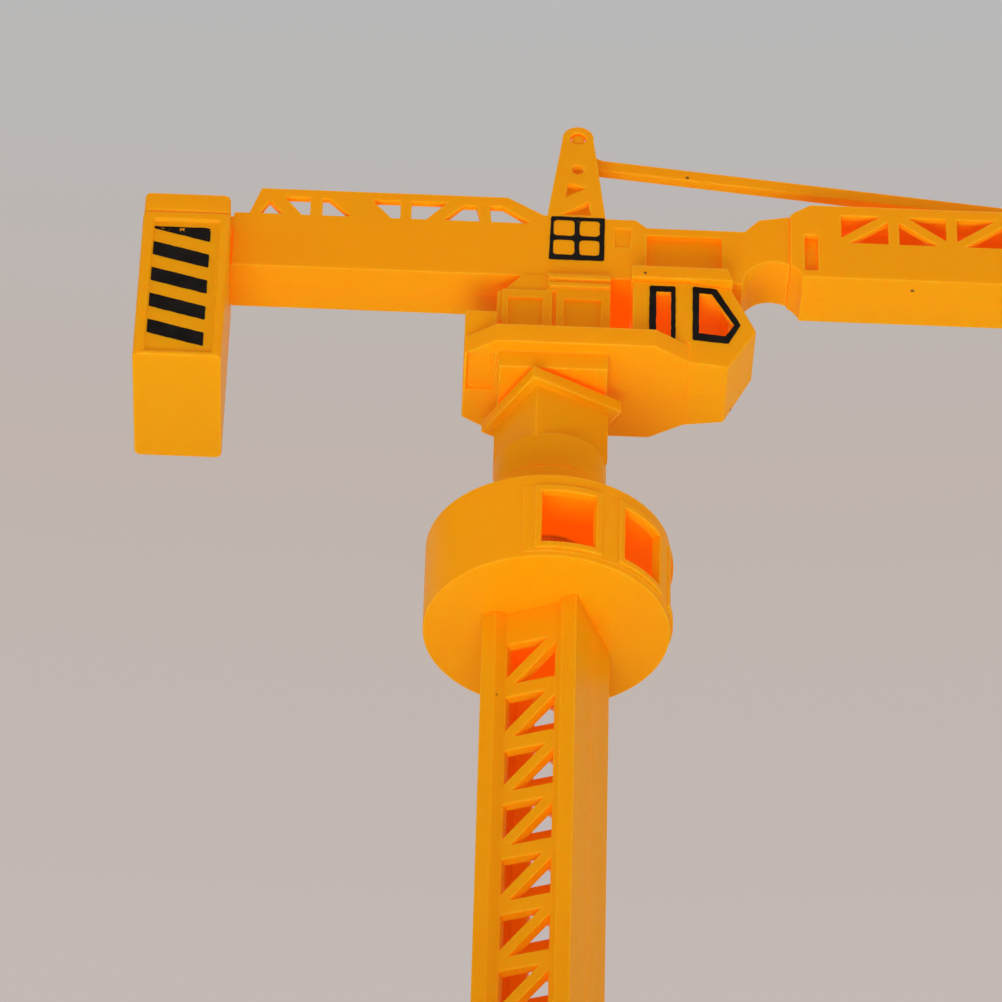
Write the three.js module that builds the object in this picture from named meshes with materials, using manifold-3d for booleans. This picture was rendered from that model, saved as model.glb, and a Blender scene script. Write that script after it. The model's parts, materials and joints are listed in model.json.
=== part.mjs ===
// Toy tower crane: a square lattice mast on a wide foot, a round
// windowed cabin, a square turret column, a slewing platform with a driver's
// cab, and a long hollow jib with counterweight, tie bar, trolley and hook.
// Millimetres, +Z up, +X along the jib, origin under the mast on the ground.

import * as THREE from 'three';
import { mergeVertices } from 'three/addons/utils/BufferGeometryUtils.js';
import Module from 'manifold-3d';

const wasm = await Module();
wasm.setup();

// ---- driving dimensions ----
const GAP = 0.3; // clearance between two pieces that meet
const HALF_GAP = GAP / 2;
const WALL = 1.6; // moulded wall thickness
const CUT = 5; // how far a cutting shape runs past the surface
const OVERLAP = 0.5; // how far joined shapes reach into each other

const BASE_SIDE = 130;
const BASE_CORNER = 16;
const BASE_THICKNESS = 5;
const FOOT_SCREW_SEAT = 2;
const PEDESTAL_SIDE = 32;
const PEDESTAL_TOP = 24;
const SOCKET_FLOOR = 3.6;

const MAST_SIDE = 20.2;
const MAST_TURN = THREE.MathUtils.degToRad(-21.7);
const POST_FLAT = 3.1;
const POST_CHAMFER = 1.65;
const PANEL_THICKNESS = 2.2;
const BAY_PITCH = 13.2;
const BAY_OPENING = 9.9;
const BAY_COUNT = 13;
const FIRST_BAY_DROP = 8.1;
const DIAGONAL_WIDTH = 2.5;

const CABIN_FLOOR = 210; // underside of the round cabin
const CABIN_RADIUS = 25;
const CABIN_HEIGHT = 20.9;
const CABIN_WALL = 1.4;
const BAND_RISE = 0.2;
const RIM_RISE = 0.6;
const RIM_ANGLE = 3;
const RIM_BOTTOM = 2;
const BAND_BOTTOM = 1.2;
const BAND_TOP = 17.9;
const BAND_HALF_ANGLE = 82;
const WINDOW_PITCH = 40.2;
const WINDOW_ANGLE = 25.2;
const WINDOW_SILL = 3.4;
const WINDOW_HEAD = 16.4;
const COLLAR_RADIUS = 11.9;
const COLLAR_TOP = 34.3;
const COLLAR_BORE = 8;

const TURRET_TURN = THREE.MathUtils.degToRad(29.2);
const NECK_RADIUS = 11.6;
const NECK_TOP = 43.1;
const COLUMN_SIDE = 17.4;
const PLATE_SIDE = 21.3;
const PLATE_BOTTOM = 55.4;
const PLATE_TOP = 58.4;
const SPINDLE_RADIUS = 7.6;
const SCREW_CLEARANCE = 1.3;
const SCREW_PILOT = 1.15;
const PILOT_DEPTH = 4.6;
const ROOF_SCREW_INSET = 5.2;
const SPINDLE_END = CABIN_FLOOR + 19.4;
const STUB_RADIUS = 6.6;

const PLATFORM_BOTTOM = 64.5;
const PLATFORM_TOP = 69.3;
const STUB_END = CABIN_FLOOR + PLATFORM_BOTTOM + 2.4;
const PLATFORM_HALF_WIDTH = 14.8;
const PLATFORM_REAR = -18.6;
const PLATFORM_FRONT = 27.9;
const PLATFORM_END_HALF = 10.2;
const BOSS_BOTTOM = 60.2;
const BOSS_HALF_LENGTH = 11.3;
const BOSS_HALF_WIDTH = 11.8;
const TIER_TOP = 76.6;
const TIER_HALF_WIDTH = 10.2;

const HOUSING_REAR = -12;
const HOUSING_FRONT = 11.7;
const HOUSING_HALF_WIDTH = 8;
const HOUSING_SHOULDER = 84.8;
const JIB_BOTTOM = 89.8;
const RIDGE_START = -1.3;
const RIDGE_COUNT = 2;
const RIDGE_PITCH = 2.15;
const RIDGE_HEIGHT = 1.1;
const RIDGE_RISE = 0.7;

const CAB_REAR = 16.3;
const CAB_HALF_WIDTH = 10.3;
const CAB_NOSE_HALF_WIDTH = 7.66;
const CAB_NOSE = 42.3;
const CAB_NOSE_HEIGHT = 75.7;
const CAB_TOE = 36.3;
const CAB_WALL_TOP = 86.1;
const ROOF_HALF_WIDTH = 11.4;
const ROOF_FRONT = 37.3;
const ROOF_OVERHANG = 0.4;
const RIB_RANGE = [0.4, 2]; // the rib between the housing and the cab, across the crane

const JIB_HALF_WIDTH = 6.7;
const COUNTER_JIB_END = -80;
const JIB_TOP = 104.6;
const RAIL_TOP = 111.7;
const CHORD = 2.3;
const BLOCK_TOP = 106.6;
const ROOT_TOP = 104.5;
const ARCH_CENTRE = 46.2;
const ARCH_RADIUS = 6.5;
const RECESS_DEPTH = 1.8;
const HEAD_CENTRE = 4.3;
const HEAD_EYE_HEIGHT = 129.4;
const HEAD_EYE_RADIUS = 3.4;
const HEAD_PIN_RADIUS = 1.5;

const BOOM_REAR = 49.6;
const BOOM_TIP = 190;
const BOOM_HALF_WIDTH = 7.2;
const BOOM_BOTTOM = 92;
const BOOM_TOP = 112.4;
const BOOM_BAY = 12.3;
const BOOM_BAY_START = 60.5;
const BOOM_BAY_COUNT = 10;
const BOOM_OPENING_BOTTOM = 102.1;
const BOOM_OPENING_TOP = 109.7;
const TIE_LUG = 118;
const TIE_LUG_HEIGHT = 115.2;

const SLOT_START = 108;
const SLOT_END = 182;
const SLOT_HALF_WIDTH = 2;
const TROLLEY_X = 128;

const WEIGHT_REAR = -86.8;
const WEIGHT_FRONT = -68.5;
const WEIGHT_CORNER = 1.4;
const WEIGHT_HALF_DEPTH = 16.5;
const WEIGHT_BOTTOM = 55.9;
const WEIGHT_LID = 95.6;
const WEIGHT_TOP = 100.7;

const COLOURS = {
  orange: { color: 0xf29a12, roughness: 0.38, metalness: 0 },
  steel: { color: 0xb4b2ac, roughness: 0.35, metalness: 0.9 },
};

// ---- shape helpers ----
function outline(points) {
  return new THREE.Shape(points.map(([x, y]) => new THREE.Vector2(x, y)));
}

function circle(radius, x = 0, y = 0) {
  const shape = new THREE.Shape();
  shape.absarc(x, y, radius, 0, Math.PI * 2, false);
  return shape;
}

function roundedSquare(side, corner) {
  const half = side / 2;
  const inner = half - corner;
  const shape = new THREE.Shape();
  shape.absarc(inner, inner, corner, 0, Math.PI / 2, false);
  shape.absarc(-inner, inner, corner, Math.PI / 2, Math.PI, false);
  shape.absarc(-inner, -inner, corner, Math.PI, Math.PI * 1.5, false);
  shape.absarc(inner, -inner, corner, Math.PI * 1.5, Math.PI * 2, false);
  return shape;
}

function solidFrom(geometry) {
  const bare = geometry.clone();
  bare.deleteAttribute('normal');
  bare.deleteAttribute('uv');
  const merged = mergeVertices(bare, 1e-4);
  return new wasm.Manifold(new wasm.Mesh({
    numProp: 3,
    vertProperties: new Float32Array(merged.attributes.position.array),
    triVerts: new Uint32Array(merged.index.array),
  }));
}

function extrude(shape, depth, segments) {
  return new THREE.ExtrudeGeometry(shape, { depth, bevelEnabled: false, curveSegments: segments });
}

// an XY outline between two heights
function prismZ(shape, low, high, segments = 12) {
  const geometry = extrude(shape, high - low, segments);
  geometry.translate(0, 0, low);
  return solidFrom(geometry);
}

// an XZ outline between two Y values
function prismY(shape, low, high, segments = 12) {
  const geometry = extrude(shape, high - low, segments);
  geometry.rotateX(Math.PI / 2);
  geometry.translate(0, high, 0);
  return solidFrom(geometry);
}

function box(x0, x1, y0, y1, z0, z1) {
  const geometry = new THREE.BoxGeometry(x1 - x0, y1 - y0, z1 - z0);
  geometry.translate((x0 + x1) / 2, (y0 + y1) / 2, (z0 + z1) / 2);
  return solidFrom(geometry);
}

function join(first, ...others) {
  return others.reduce((sum, next) => sum.add(next), first);
}

function carve(first, ...others) {
  return others.reduce((rest, next) => rest.subtract(next), first);
}

function material(kind) {
  return new THREE.MeshStandardMaterial(COLOURS[kind]);
}

function addPart(group, name, solid, kind = 'orange') {
  const mesh = solid.getMesh();
  const geometry = new THREE.BufferGeometry();
  geometry.setAttribute('position', new THREE.BufferAttribute(mesh.vertProperties, 3));
  geometry.setIndex(new THREE.BufferAttribute(mesh.triVerts, 1));
  geometry.computeVertexNormals();
  const part = new THREE.Mesh(geometry, material(kind));
  part.name = name;
  group.add(part);
}

function addSeries(group, name, solids, kind) {
  solids.forEach((solid, index) => addPart(group, `${name}_${index + 1}`, solid, kind));
}

// the Y range of one half of a shell that is split along the XZ plane:
// side is -1 for the front half and 1 for the rear half
function halfRange(side, inner, outer) {
  return side < 0 ? [-outer, -inner] : [inner, outer];
}

function halfPrism(shape, side, inner, outer, segments) {
  const [low, high] = halfRange(side, inner, outer);
  return prismY(shape, low, high, segments);
}

// a pan-head screw pointing along -Z from its seat, built on a lathe
function screwGeometry(headRadius, headHeight, shankRadius, length) {
  const profile = [
    [0, -length],
    [shankRadius * 0.4, -length],
    [shankRadius, -length + shankRadius * 1.6],
    [shankRadius, 0],
    [headRadius, 0],
    [headRadius, headHeight * 0.5],
    [headRadius * 0.7, headHeight],
    [0, headHeight],
  ].map(([r, z]) => new THREE.Vector2(r, z));
  const geometry = new THREE.LatheGeometry(profile, 16);
  geometry.rotateX(Math.PI / 2);
  return geometry;
}

// ---- foot and mast, turned together about the mast's axis ----
function squareOf(half) {
  return outline([[-half, -half], [half, -half], [half, half], [-half, half]]);
}

function basePlate() {
  const plate = prismZ(roundedSquare(BASE_SIDE, BASE_CORNER), 0, BASE_THICKNESS, 8);
  const pedestal = prismZ(squareOf(PEDESTAL_SIDE / 2), 0, PEDESTAL_TOP);
  const socket = prismZ(squareOf(MAST_SIDE / 2 + GAP), SOCKET_FLOOR, PEDESTAL_TOP + CUT);
  const holes = footScrewPlaces().map(([x, y]) => prismZ(circle(SCREW_CLEARANCE, x, y), -CUT, PEDESTAL_TOP, 8));
  const heads = footScrewPlaces().map(([x, y]) => prismZ(circle(2.7, x, y), -CUT, FOOT_SCREW_SEAT, 8));
  return carve(join(plate, pedestal), socket, ...holes, ...heads);
}

function footScrewPlaces() {
  const reach = MAST_SIDE / 2 - 2.6;
  return [[-reach, -reach], [reach, -reach], [reach, reach], [-reach, reach]];
}

function footScrews() {
  return footScrewPlaces().map(([x, y]) => {
    const geometry = screwGeometry(2.4, 1.1, 1, 9);
    geometry.rotateX(Math.PI);
    geometry.translate(x, y, FOOT_SCREW_SEAT - GAP);
    return solidFrom(geometry);
  });
}

// the mast's cross-section: two corner posts with bevelled inner edges, a set-back panel and
// two side walls that stop at the joint between the halves
function mastSection() {
  const half = MAST_SIDE / 2;
  const flat = half - POST_FLAT;
  const bevel = flat - POST_CHAMFER;
  const face = half - POST_CHAMFER;
  const inside = face - PANEL_THICKNESS;
  const cavity = half - WALL;
  return outline([
    [-half, -HALF_GAP], [-half, -half], [-flat, -half], [-bevel, -face],
    [bevel, -face], [flat, -half], [half, -half], [half, -HALF_GAP],
    [cavity, -HALF_GAP], [cavity, -inside], [-cavity, -inside], [-cavity, -HALF_GAP],
  ]);
}

// the two open triangles of one bay, with the diagonal rising to the right
function bayTriangles(left, right, bottom, top, diagonal, rising) {
  const slope = (top - bottom) / (right - left);
  const lift = diagonal * 0.5 * Math.hypot(1, slope);
  const run = lift / slope;
  const mirror = (x) => (rising ? x : left + right - x);
  const upper = [[left, bottom + lift], [right - run, top], [left, top]];
  const lower = [[left + run, bottom], [right, bottom], [right, top - lift]];
  return [upper, lower].map((points) => outline(points.map(([x, z]) => [mirror(x), z])));
}

function mastHalf() {
  const bottom = SOCKET_FLOOR + GAP;
  const top = CABIN_FLOOR - GAP;
  const half = MAST_SIDE / 2;
  const reach = half - POST_FLAT - POST_CHAMFER - 0.3;
  const cuts = [];
  for (let bay = 0; bay < BAY_COUNT; bay += 1) {
    const bayTop = CABIN_FLOOR - FIRST_BAY_DROP - bay * BAY_PITCH;
    const shapes = bayTriangles(-reach, reach, bayTop - BAY_OPENING, bayTop, DIAGONAL_WIDTH, true);
    cuts.push(...shapes.map((shape) => prismY(shape, -half - CUT, -1)));
  }
  const pilots = footScrewPlaces()
    .filter(([, y]) => y < 0)
    .map(([x, y]) => prismZ(circle(1.2, x, y), bottom - CUT, bottom + 8, 8));
  return carve(prismZ(mastSection(), bottom, top), ...cuts, ...pilots);
}

// ---- round cabin ----
function ringSector(inner, outer, centre, halfAngle, segments) {
  const shape = new THREE.Shape();
  const start = THREE.MathUtils.degToRad(centre - halfAngle);
  const end = THREE.MathUtils.degToRad(centre + halfAngle);
  for (let step = 0; step <= segments; step += 1) {
    const angle = start + ((end - start) * step) / segments;
    const point = [outer * Math.cos(angle), outer * Math.sin(angle)];
    if (step === 0) shape.moveTo(...point);
    else shape.lineTo(...point);
  }
  for (let step = segments; step >= 0; step -= 1) {
    const angle = start + ((end - start) * step) / segments;
    shape.lineTo(inner * Math.cos(angle), inner * Math.sin(angle));
  }
  return shape;
}

function windowAngles() {
  return [-1.5, -0.5, 0.5, 1.5].map((place) => place * WINDOW_PITCH);
}

function cabinShell() {
  const floor = CABIN_FLOOR;
  const inner = CABIN_RADIUS - CABIN_WALL;
  const cup = carve(
    prismZ(circle(CABIN_RADIUS), floor, floor + CABIN_HEIGHT, 36),
    prismZ(circle(inner), floor + CABIN_WALL, floor + CABIN_HEIGHT + CUT, 36),
  );
  const band = prismZ(
    ringSector(inner + OVERLAP, CABIN_RADIUS + BAND_RISE, 0, BAND_HALF_ANGLE, 28),
    floor + BAND_BOTTOM, floor + BAND_TOP,
  );
  const rims = windowAngles().map((angle) => prismZ(
    ringSector(inner + OVERLAP, CABIN_RADIUS + RIM_RISE, angle, WINDOW_ANGLE / 2 + RIM_ANGLE, 10),
    floor + RIM_BOTTOM, floor + BAND_TOP,
  ));
  const openings = windowAngles().map((angle) => prismZ(
    ringSector(inner - 2, CABIN_RADIUS + 3, angle, WINDOW_ANGLE / 2, 8),
    floor + WINDOW_SILL, floor + WINDOW_HEAD,
  ));
  const seat = ROOF_SCREW_ANGLES.map((angle) => {
    const place = polar(CABIN_RADIUS - ROOF_SCREW_INSET, angle);
    return prismZ(circle(2.6, ...place), floor + 1, floor + CABIN_HEIGHT - 2 - GAP, 8);
  });
  return carve(join(cup, band, ...rims, ...seat), ...openings);
}

const ROOF_SCREW_ANGLES = [135, 225];

function polar(radius, degrees) {
  const angle = THREE.MathUtils.degToRad(degrees);
  return [radius * Math.cos(angle), radius * Math.sin(angle)];
}

function cabinRoof() {
  const top = CABIN_FLOOR + CABIN_HEIGHT;
  const disc = prismZ(circle(CABIN_RADIUS - CABIN_WALL - GAP), top - 2, top, 36);
  const collar = prismZ(circle(COLLAR_RADIUS), top - 2, CABIN_FLOOR + COLLAR_TOP, 24);
  const bore = prismZ(circle(COLLAR_BORE), top - CUT, CABIN_FLOOR + COLLAR_TOP + CUT, 24);
  const holes = ROOF_SCREW_ANGLES.map((angle) => {
    const place = polar(CABIN_RADIUS - ROOF_SCREW_INSET, angle);
    return prismZ(circle(SCREW_CLEARANCE, ...place), top - CUT, top + CUT, 8);
  });
  return carve(join(disc, collar), bore, ...holes);
}

function roofScrews() {
  const top = CABIN_FLOOR + CABIN_HEIGHT + GAP;
  return ROOF_SCREW_ANGLES.map((angle) => {
    const geometry = screwGeometry(2.2, 1, 1, 2.2);
    geometry.translate(...polar(CABIN_RADIUS - ROOF_SCREW_INSET, angle), top);
    return solidFrom(geometry);
  });
}

// ---- turret column ----
function turretColumn() {
  const base = CABIN_FLOOR;
  const spindle = prismZ(circle(SPINDLE_RADIUS), SPINDLE_END, base + 36, 24);
  const neck = prismZ(circle(NECK_RADIUS), base + COLLAR_TOP + GAP, base + NECK_TOP, 24);
  const column = prismZ(squareOf(COLUMN_SIDE / 2), base + NECK_TOP - 1, base + PLATE_BOTTOM + 0.5);
  const plate = prismZ(squareOf(PLATE_SIDE / 2), base + PLATE_BOTTOM, base + PLATE_TOP);
  const stub = prismZ(circle(STUB_RADIUS), base + PLATE_TOP - 1, STUB_END, 24);
  const bore = prismZ(circle(4), base + 21.2, base + PLATFORM_BOTTOM + 0.4, 20);
  const lowerHole = prismZ(circle(SCREW_CLEARANCE), SPINDLE_END - CUT, SPINDLE_END + CUT, 8);
  const upperHole = prismZ(circle(SCREW_CLEARANCE), STUB_END - CUT, STUB_END + CUT, 8);
  return carve(join(spindle, neck, column, plate, stub), bore, lowerHole, upperHole);
}

function washer(low, thickness, outer) {
  return carve(
    prismZ(circle(outer), low, low + thickness, 20),
    prismZ(circle(1.5), low - CUT, low + thickness + CUT, 8),
  );
}

// the screw under the turret points up, the one above the platform points down
function swivelScrew(seat, pointsUp) {
  const geometry = screwGeometry(2.6, 1.3, 1, 5);
  if (pointsUp) geometry.rotateX(Math.PI);
  geometry.translate(0, 0, seat);
  return solidFrom(geometry);
}

// ---- slewing platform, split into a front and a rear half ----
function platformOutline(side, inset) {
  const width = PLATFORM_HALF_WIDTH - inset;
  const end = PLATFORM_END_HALF - inset * 0.4;
  const points = [
    [PLATFORM_REAR + inset, HALF_GAP],
    [PLATFORM_REAR + inset, end],
    [-11.9, width],
    [20.9, width],
    [PLATFORM_FRONT - inset, end],
    [PLATFORM_FRONT - inset, HALF_GAP],
  ];
  return outline(points.map(([x, y]) => [x, side * y]));
}

function platformHalf(side) {
  const low = CABIN_FLOOR + PLATFORM_BOTTOM;
  const high = CABIN_FLOOR + PLATFORM_TOP;
  const slab = prismZ(platformOutline(side, 0), low, high);
  const hollow = carve(
    prismZ(platformOutline(side, 1.5), low + 1.5, high - 1.5),
    prismZ(circle(10), low - CUT, high + CUT, 20),
  );
  const slit = box(-16.5, 26, -1, 1, low + 1.5, high - 1.5);
  const [bossLow, bossHigh] = halfRange(side, HALF_GAP, BOSS_HALF_WIDTH);
  const boss = box(-BOSS_HALF_LENGTH, BOSS_HALF_LENGTH, bossLow, bossHigh,
    CABIN_FLOOR + BOSS_BOTTOM, low + 0.5);
  const tierEnd = HOUSING_REAR - GAP;
  const tier = box(PLATFORM_REAR, tierEnd, ...halfRange(side, HALF_GAP, TIER_HALF_WIDTH),
    high - OVERLAP, CABIN_FLOOR + TIER_TOP);
  const tierHollow = box(PLATFORM_REAR + WALL, tierEnd - WALL,
    ...halfRange(side, -1, TIER_HALF_WIDTH - WALL), high + OVERLAP, CABIN_FLOOR + TIER_TOP - WALL);
  const [recessLow, recessHigh] = side < 0 ? [-10.4, 0] : [0, 1.2];
  const recess = box(-17.8, -12.2, recessLow, recessHigh, low - CUT, low + 0.9);
  const bore = prismZ(circle(STUB_RADIUS + GAP), 0, high + CUT, 24);
  const screwWell = prismZ(circle(9.4), low + 2, high + CUT, 24);
  let body = carve(join(slab, boss, tier), hollow, slit, tierHollow, recess, bore, screwWell);
  if (side > 0) {
    const ribStart = HOUSING_FRONT + GAP;
    const wallTop = CABIN_FLOOR + CAB_WALL_TOP;
    body = join(body,
      box(ribStart, CAB_REAR - GAP, ...RIB_RANGE, high - OVERLAP, wallTop),
      box(ribStart, CAB_REAR - ROOF_OVERHANG - GAP, ...RIB_RANGE, wallTop - OVERLAP,
        CABIN_FLOOR + JIB_BOTTOM - GAP));
  }
  return body;
}

// ---- engine housing ----
function housing() {
  const low = CABIN_FLOOR + PLATFORM_TOP + GAP;
  const top = CABIN_FLOOR + JIB_BOTTOM - GAP;
  const shoulder = CABIN_FLOOR + HOUSING_SHOULDER;
  const shell = prismY(outline([
    [HOUSING_REAR, low],
    [HOUSING_FRONT, low],
    [HOUSING_FRONT, top],
    [-6.7, top],
    [-10.6, shoulder + 0.5],
    [HOUSING_REAR, shoulder],
  ]), -HOUSING_HALF_WIDTH, HOUSING_HALF_WIDTH);
  const inner = HOUSING_HALF_WIDTH - WALL;
  const cavity = box(HOUSING_REAR + WALL, HOUSING_FRONT - WALL, -inner, inner,
    low - CUT, shoulder - WALL);
  const panels = [[-9.7, -2.5], [2, 9.7]];
  const details = [];
  const cuts = [];
  for (const side of [-1, 1]) {
    for (const [left, right] of panels) {
      const [cutLow, cutHigh] = halfRange(side, HOUSING_HALF_WIDTH - 0.8, HOUSING_HALF_WIDTH + CUT);
      cuts.push(box(left, right, cutLow, cutHigh, low - CUT, shoulder - 2.2));
    }
    const [stripLow, stripHigh] = halfRange(side, HOUSING_HALF_WIDTH - 0.8, HOUSING_HALF_WIDTH + CUT);
    cuts.push(box(HOUSING_REAR - 1, -1.6, stripLow, stripHigh, shoulder, top + 1));
    cuts.push(box(-0.5, 0.3, stripLow, stripHigh, low - CUT, shoulder));
    cuts.push(box(HOUSING_REAR - 1, -11, stripLow, stripHigh, low - CUT, shoulder));
    const ridgeRange = halfRange(side, HOUSING_HALF_WIDTH - OVERLAP, HOUSING_HALF_WIDTH + RIDGE_RISE);
    for (let ridge = 0; ridge < RIDGE_COUNT; ridge += 1) {
      const ridgeBottom = shoulder + 0.7 + ridge * RIDGE_PITCH;
      details.push(box(RIDGE_START, HOUSING_FRONT, ...ridgeRange, ridgeBottom, ridgeBottom + RIDGE_HEIGHT));
    }
  }
  return join(carve(shell, cavity, ...cuts), ...details);
}

// ---- driver's cab, split like the platform ----
function cabOutline(inset) {
  const low = CABIN_FLOOR + PLATFORM_BOTTOM + inset;
  const seat = CABIN_FLOOR + PLATFORM_TOP + GAP;
  const top = CABIN_FLOOR + CAB_WALL_TOP;
  const roofFront = ROOF_FRONT - ROOF_OVERHANG - inset;
  return outline([
    [CAB_REAR + inset, seat + inset],
    [PLATFORM_FRONT + GAP + inset, seat + inset],
    [PLATFORM_FRONT + GAP + inset, low],
    [CAB_TOE - inset * 0.5, low],
    [CAB_NOSE - inset * 1.15, CABIN_FLOOR + CAB_NOSE_HEIGHT],
    [roofFront, top - inset],
    [CAB_REAR + inset, top - inset],
  ]);
}

// plan view of one half of the cab: straight beside the door, narrowing towards the nose
function cabPlan(side, inset) {
  const points = [
    [CAB_REAR - 1, inset > 0 ? -1 : HALF_GAP],
    [CAB_REAR - 1, CAB_HALF_WIDTH - inset],
    [PLATFORM_FRONT, CAB_HALF_WIDTH - inset],
    [CAB_NOSE + 1, CAB_NOSE_HALF_WIDTH - inset],
    [CAB_NOSE + 1, inset > 0 ? -1 : HALF_GAP],
  ];
  return outline(points.map(([x, y]) => [x, side * y]));
}

function cabWindow() {
  return outline([
    [30.2, CABIN_FLOOR + 72.8],
    [35.7, CABIN_FLOOR + 73],
    [37.6, CABIN_FLOOR + 76.5],
    [32.9, CABIN_FLOOR + 84.1],
    [30.2, CABIN_FLOOR + 83.9],
  ]);
}

function cabHalf(side) {
  const low = CABIN_FLOOR + PLATFORM_BOTTOM;
  const top = CABIN_FLOOR + CAB_WALL_TOP;
  const spread = CAB_HALF_WIDTH + 2;
  const body = halfPrism(cabOutline(0), side, 0, spread)
    .intersect(prismZ(cabPlan(side, 0), low - 1, top + 1));
  const cavity = prismY(cabOutline(WALL), -spread, spread)
    .intersect(prismZ(cabPlan(side, WALL), low - 1, top + 1));
  const [cutLow, cutHigh] = halfRange(side, CAB_NOSE_HALF_WIDTH - 2.2, spread);
  const door = box(21.2, 24.3, cutLow, cutHigh, CABIN_FLOOR + 70.5, CABIN_FLOOR + 83.6);
  const pane = prismY(cabWindow(), cutLow, cutHigh);
  const windscreen = box(37, CAB_NOSE + 2, -4.8, 4.8, CABIN_FLOOR + 77.6, CABIN_FLOOR + 82.6);
  return carve(body, cavity, door, pane, windscreen);
}

function cabRoof() {
  const low = CABIN_FLOOR + CAB_WALL_TOP + GAP;
  const top = CABIN_FLOOR + JIB_BOTTOM - GAP;
  const slab = prismY(outline([
    [CAB_REAR - ROOF_OVERHANG, low],
    [ROOF_FRONT, low],
    [ROOF_FRONT - 1.1, top],
    [CAB_REAR - ROOF_OVERHANG, top],
  ]), -ROOF_HALF_WIDTH, ROOF_HALF_WIDTH);
  const inner = ROOF_HALF_WIDTH - 2.4;
  return carve(slab, box(CAB_REAR + 1.6, ROOF_FRONT - 4.4, -inner, inner, low - CUT, top - 1.6));
}

// ---- jib: counter-jib, tower head and boom root, split into halves ----
function jibOutline(inset) {
  const low = CABIN_FLOOR + JIB_BOTTOM + inset;
  const shape = new THREE.Shape();
  shape.moveTo(COUNTER_JIB_END + inset, low);
  const right = BOOM_REAR - HALF_GAP - inset;
  const radius = ARCH_RADIUS + inset;
  const archStart = Math.PI - Math.asin(inset / radius);
  shape.lineTo(ARCH_CENTRE + radius * Math.cos(archStart), low);
  const archEnd = Math.acos((right - ARCH_CENTRE) / radius);
  shape.absarc(ARCH_CENTRE, CABIN_FLOOR + JIB_BOTTOM, radius, archStart, archEnd, true);
  shape.lineTo(right, CABIN_FLOOR + 109.2 - inset);
  shape.lineTo(43 + inset * 0.5, CABIN_FLOOR + 107.9 - inset);
  shape.lineTo(40 + inset * 0.5, CABIN_FLOOR + ROOT_TOP - inset);
  shape.lineTo(19.3 - inset * 0.5, CABIN_FLOOR + ROOT_TOP - inset);
  shape.lineTo(16.9 - inset * 0.5, CABIN_FLOOR + BLOCK_TOP - inset);
  shape.lineTo(-2.4 + inset, CABIN_FLOOR + BLOCK_TOP - inset);
  shape.lineTo(-2.8 + inset, CABIN_FLOOR + JIB_TOP - inset);
  shape.lineTo(COUNTER_JIB_END + inset, CABIN_FLOOR + JIB_TOP - inset);
  return shape;
}

function railOutline() {
  return outline([
    [-65, CABIN_FLOOR + JIB_TOP - 1],
    [-1, CABIN_FLOOR + JIB_TOP - 1],
    [-1, CABIN_FLOOR + BLOCK_TOP + 0.2],
    [-2.7, CABIN_FLOOR + BLOCK_TOP + 0.5],
    [-10.4, CABIN_FLOOR + RAIL_TOP],
    [-62.7, CABIN_FLOOR + RAIL_TOP],
    [-65, CABIN_FLOOR + JIB_TOP],
  ]);
}

// seven openings between the uprights and braces of the counter-jib rail
function railOpenings() {
  const low = CABIN_FLOOR + JIB_TOP;
  const high = CABIN_FLOOR + RAIL_TOP - CHORD;
  const shapes = [
    [[-62.8, low], [-57.9, low], [-60.8, high - 1.2]],
    [[-57.6, high], [-53.9, low], [-52.2, low], [-52.2, high]],
    [[-49.6, high], [-48.3, high], [-43.5, low], [-49.6, low]],
    [[-39, high], [-33.1, high], [-33.1, low], [-35, low]],
    [[-30.7, high], [-23.3, high], [-27.6, low], [-30.7, low]],
    [[-23.8, low], [-19.7, high - 0.5], [-17, high - 0.5], [-16, low]],
    [[-14.1, high - 0.5], [-11.4, high - 0.5], [-5.4, low], [-13.7, low]],
  ];
  return shapes.map(outline);
}

function headOutline() {
  const low = CABIN_FLOOR + BLOCK_TOP - 1;
  const eye = CABIN_FLOOR + HEAD_EYE_HEIGHT;
  const shape = new THREE.Shape();
  shape.moveTo(-2, low);
  shape.lineTo(10.5, low);
  shape.lineTo(10.5, low + 1);
  shape.absarc(HEAD_CENTRE, eye, HEAD_EYE_RADIUS, -0.14, Math.PI + 0.14, false);
  shape.lineTo(-2, low + 1);
  return shape;
}

function headOpenings() {
  const z = CABIN_FLOOR;
  return [
    circle(HEAD_PIN_RADIUS + 0.2, HEAD_CENTRE, z + HEAD_EYE_HEIGHT),
    circle(1.3, HEAD_CENTRE + 0.1, z + 120.4),
    outline([[2.3, z + 116.4], [6.3, z + 115.2], [1.9, z + 112.4]]),
    outline([[1.1, z + 107.4], [7.4, z + 107.4], [6.8, z + 111.2]]),
  ];
}

// the round arch under the place where the boom begins
function archCircle(growth) {
  return circle(ARCH_RADIUS + growth, ARCH_CENTRE, CABIN_FLOOR + JIB_BOTTOM);
}

// the part of the jib that plugs into the boom
function boomTongue(side) {
  const reach = BOOM_HALF_WIDTH - WALL - GAP;
  const low = CABIN_FLOOR + BOOM_BOTTOM + WALL + GAP;
  const top = CABIN_FLOOR + BOOM_TOP - 3.2 - WALL - GAP;
  const tongue = box(BOOM_REAR - 2.5, BOOM_REAR + 9, ...halfRange(side, HALF_GAP, reach), low, top);
  const hollow = box(BOOM_REAR - 2, BOOM_REAR + 7.6, ...halfRange(side, -1, reach - 1.4),
    low + 1.4, top - 1.4);
  const arch = prismY(archCircle(WALL + GAP), -reach - 1, reach + 1, 16);
  return carve(tongue, hollow, arch);
}

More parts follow.
